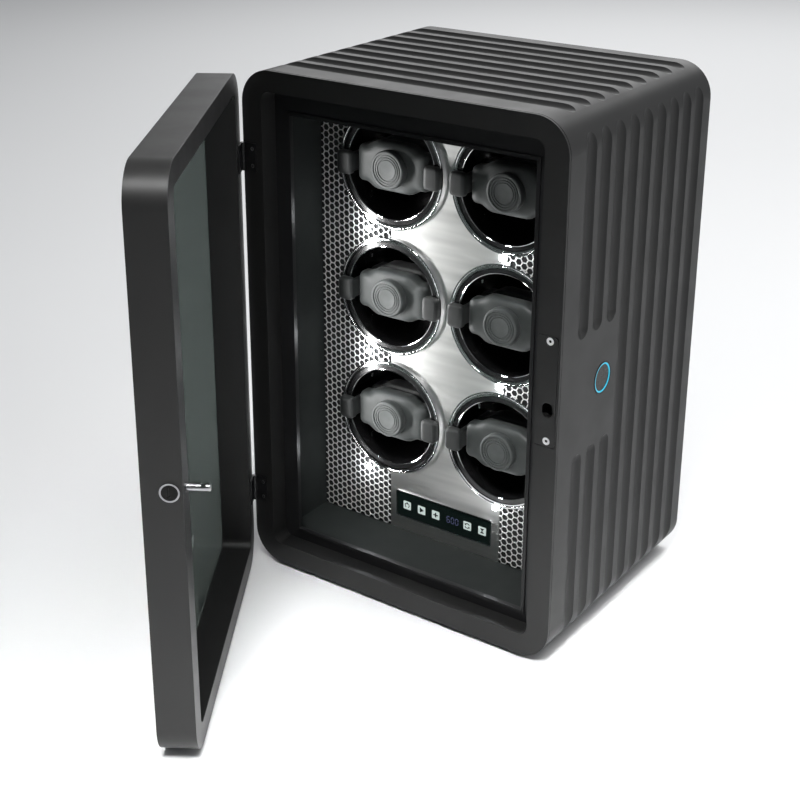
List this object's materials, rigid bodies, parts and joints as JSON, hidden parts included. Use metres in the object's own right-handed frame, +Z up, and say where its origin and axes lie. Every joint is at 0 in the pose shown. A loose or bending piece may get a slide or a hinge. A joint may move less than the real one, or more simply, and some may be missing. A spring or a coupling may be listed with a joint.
{
  "type": "watch winder box",
  "caption": "Tall fluted matt black watch winder cabinet with a hinged glazed door, belt-driven rotor cups, pull-out watch cuffs and a lit steel panel.",
  "frame": {"origin": "centre of the case's underside (base pad), on the plane that it stands on", "axes": "+X to the viewer's right seen from the front, +Y towards the back, +Z up"},
  "size_m": [0.3215, 0.495, 0.44],
  "materials": {
    "case_lacquer": "matt black lacquer on fibreboard",
    "black_trim": "satin black",
    "soft_lining": "soft-touch dark grey board",
    "pad_felt": "matt black pad",
    "brushed_steel": "finely brushed",
    "honeycomb_steel": "bright punched sheet",
    "chrome": "polished",
    "plain_steel": "plated",
    "bronze": "turned",
    "belt_rubber": "matt",
    "led_white": "lit",
    "display_glass": "gloss black",
    "circuit_board": "solder resist",
    "sensor_glow": "lit cyan light guide",
    "sensor_dark": "satin black",
    "door_tint": "grey-green tint",
    "gloss_black": "piano black",
    "cuff_soft": "soft-touch dark grey"
  },
  "bodies": {
    "case": {"case_shell": "case_lacquer", "front_frame": "case_lacquer", "inner_frame": "black_trim", "cavity_linings": "soft_lining", "back_panel": "case_lacquer", "base_pad": "pad_felt", "steel_plate": "brushed_steel", "honeycomb_panels": "honeycomb_steel", "panel_backer": "black_trim", "bearing_plate": "plain_steel", "rotor_bezels": "chrome", "rotor_bearings": "bronze", "drive_motors": "plain_steel", "drive_belts": "belt_rubber", "led_lights": "led_white", "control_bezel": "chrome", "control_glass": "display_glass", "circuit_boards": "circuit_board", "strike_plate": "case_lacquer", "strike_screws": "chrome", "latch_actuator": "plain_steel", "sensor_bezel": "black_trim", "sensor_ring": "sensor_glow", "sensor_pad": "sensor_dark", "dc_socket": "black_trim", "back_screws": "plain_steel", "case_hinge_leaves": "black_trim", "hinge_pins": "plain_steel"},
    "door": {"door_frame": "case_lacquer", "door_glass": "door_tint", "glass_seal": "belt_rubber", "door_hinge_leaves": "black_trim", "lock_body": "chrome", "latch_peg": "chrome"},
    "lock_plug": {"lock_plug": "sensor_dark"},
    "latch_bolt": {"latch_bolt": "plain_steel"},
    "rotor_1": {"rotor_cup_1": "gloss_black"},
    "cuff_1": {"cuff_1": "cuff_soft"},
    "cuff_pad_1": {"cuff_pad_1": "cuff_soft"},
    "motor_pulley_1": {"motor_pulley_1": "bronze"},
    "rotor_2": {"rotor_cup_2": "gloss_black"},
    "cuff_2": {"cuff_2": "cuff_soft"},
    "cuff_pad_2": {"cuff_pad_2": "cuff_soft"},
    "motor_pulley_2": {"motor_pulley_2": "bronze"},
    "rotor_3": {"rotor_cup_3": "gloss_black"},
    "cuff_3": {"cuff_3": "cuff_soft"},
    "cuff_pad_3": {"cuff_pad_3": "cuff_soft"},
    "motor_pulley_3": {"motor_pulley_3": "bronze"},
    "rotor_4": {"rotor_cup_4": "gloss_black"},
    "cuff_4": {"cuff_4": "cuff_soft"},
    "cuff_pad_4": {"cuff_pad_4": "cuff_soft"},
    "motor_pulley_4": {"motor_pulley_4": "bronze"},
    "rotor_5": {"rotor_cup_5": "gloss_black"},
    "cuff_5": {"cuff_5": "cuff_soft"},
    "cuff_pad_5": {"cuff_pad_5": "cuff_soft"},
    "motor_pulley_5": {"motor_pulley_5": "bronze"},
    "rotor_6": {"rotor_cup_6": "gloss_black"},
    "cuff_6": {"cuff_6": "cuff_soft"},
    "cuff_pad_6": {"cuff_pad_6": "cuff_soft"},
    "motor_pulley_6": {"motor_pulley_6": "bronze"}
  },
  "joints": [
    {"name": "door_hinge", "type": "hinge", "parent": "case", "child": "door", "pos_m": [-0.147, -0.116, 0.217], "axis": [0, 0, -1], "range_deg": [-57.4, 50]},
    {"name": "lock_turn", "type": "hinge", "parent": "door", "child": "lock_plug", "pos_m": [0.00267, -0.37045, 0.2206], "axis": [0.5388, -0.8425, 0], "range_deg": [0, 90]},
    {"name": "latch_bolt_slide", "type": "slide", "parent": "case", "child": "latch_bolt", "axis": [0, 0, -1], "range_m": [0, 0.0025]},
    {"name": "rotor_spin_1", "type": "hinge", "parent": "case", "child": "rotor_1", "pos_m": [-0.0553, -0.039, 0.3552], "axis": [0, -1, 0], "continuous": true},
    {"name": "motor_pulley_spin_1", "type": "hinge", "parent": "case", "child": "motor_pulley_1", "pos_m": [-0.0553, 0.026, 0.3112], "axis": [0, -1, 0], "continuous": true},
    {"name": "cuff_slide_1", "type": "slide", "parent": "rotor_1", "child": "cuff_1", "axis": [0, -1, 0], "range_m": [0, 0.07]},
    {"name": "cuff_pad_press_1", "type": "slide", "parent": "cuff_1", "child": "cuff_pad_1", "axis": [0, 1, 0], "range_m": [0, 0.005], "stiffness_N_per_m": 600},
    {"name": "rotor_spin_2", "type": "hinge", "parent": "case", "child": "rotor_2", "pos_m": [0.0553, -0.039, 0.3552], "axis": [0, -1, 0], "continuous": true},
    {"name": "motor_pulley_spin_2", "type": "hinge", "parent": "case", "child": "motor_pulley_2", "pos_m": [0.0553, 0.026, 0.3112], "axis": [0, -1, 0], "continuous": true},
    {"name": "cuff_slide_2", "type": "slide", "parent": "rotor_2", "child": "cuff_2", "axis": [0, -1, 0], "range_m": [0, 0.07]},
    {"name": "cuff_pad_press_2", "type": "slide", "parent": "cuff_2", "child": "cuff_pad_2", "axis": [0, 1, 0], "range_m": [0, 0.005], "stiffness_N_per_m": 600},
    {"name": "rotor_spin_3", "type": "hinge", "parent": "case", "child": "rotor_3", "pos_m": [-0.0553, -0.039, 0.2446], "axis": [0, -1, 0], "continuous": true},
    {"name": "motor_pulley_spin_3", "type": "hinge", "parent": "case", "child": "motor_pulley_3", "pos_m": [-0.0553, 0.026, 0.2006], "axis": [0, -1, 0], "continuous": true},
    {"name": "cuff_slide_3", "type": "slide", "parent": "rotor_3", "child": "cuff_3", "axis": [0, -1, 0], "range_m": [0, 0.07]},
    {"name": "cuff_pad_press_3", "type": "slide", "parent": "cuff_3", "child": "cuff_pad_3", "axis": [0, 1, 0], "range_m": [0, 0.005], "stiffness_N_per_m": 600},
    {"name": "rotor_spin_4", "type": "hinge", "parent": "case", "child": "rotor_4", "pos_m": [0.0553, -0.039, 0.2446], "axis": [0, -1, 0], "continuous": true},
    {"name": "motor_pulley_spin_4", "type": "hinge", "parent": "case", "child": "motor_pulley_4", "pos_m": [0.0553, 0.026, 0.2006], "axis": [0, -1, 0], "continuous": true},
    {"name": "cuff_slide_4", "type": "slide", "parent": "rotor_4", "child": "cuff_4", "axis": [0, -1, 0], "range_m": [0, 0.07]},
    {"name": "cuff_pad_press_4", "type": "slide", "parent": "cuff_4", "child": "cuff_pad_4", "axis": [0, 1, 0], "range_m": [0, 0.005], "stiffness_N_per_m": 600},
    {"name": "rotor_spin_5", "type": "hinge", "parent": "case", "child": "rotor_5", "pos_m": [-0.0553, -0.039, 0.134], "axis": [0, -1, 0], "continuous": true},
    {"name": "motor_pulley_spin_5", "type": "hinge", "parent": "case", "child": "motor_pulley_5", "pos_m": [-0.0553, 0.026, 0.09], "axis": [0, -1, 0], "continuous": true},
    {"name": "cuff_slide_5", "type": "slide", "parent": "rotor_5", "child": "cuff_5", "axis": [0, -1, 0], "range_m": [0, 0.07]},
    {"name": "cuff_pad_press_5", "type": "slide", "parent": "cuff_5", "child": "cuff_pad_5", "axis": [0, 1, 0], "range_m": [0, 0.005], "stiffness_N_per_m": 600},
    {"name": "rotor_spin_6", "type": "hinge", "parent": "case", "child": "rotor_6", "pos_m": [0.0553, -0.039, 0.134], "axis": [0, -1, 0], "continuous": true},
    {"name": "motor_pulley_spin_6", "type": "hinge", "parent": "case", "child": "motor_pulley_6", "pos_m": [0.0553, 0.026, 0.09], "axis": [0, -1, 0], "continuous": true},
    {"name": "cuff_slide_6", "type": "slide", "parent": "rotor_6", "child": "cuff_6", "axis": [0, -1, 0], "range_m": [0, 0.07]},
    {"name": "cuff_pad_press_6", "type": "slide", "parent": "cuff_6", "child": "cuff_pad_6", "axis": [0, 1, 0], "range_m": [0, 0.005], "stiffness_N_per_m": 600}
  ],
  "couplings": [
    {"joint": "motor_pulley_spin_1", "follows": "rotor_spin_1", "ratio": 4},
    {"joint": "motor_pulley_spin_2", "follows": "rotor_spin_2", "ratio": 4},
    {"joint": "motor_pulley_spin_3", "follows": "rotor_spin_3", "ratio": 4},
    {"joint": "motor_pulley_spin_4", "follows": "rotor_spin_4", "ratio": 4},
    {"joint": "motor_pulley_spin_5", "follows": "rotor_spin_5", "ratio": 4},
    {"joint": "motor_pulley_spin_6", "follows": "rotor_spin_6", "ratio": 4}
  ]
}
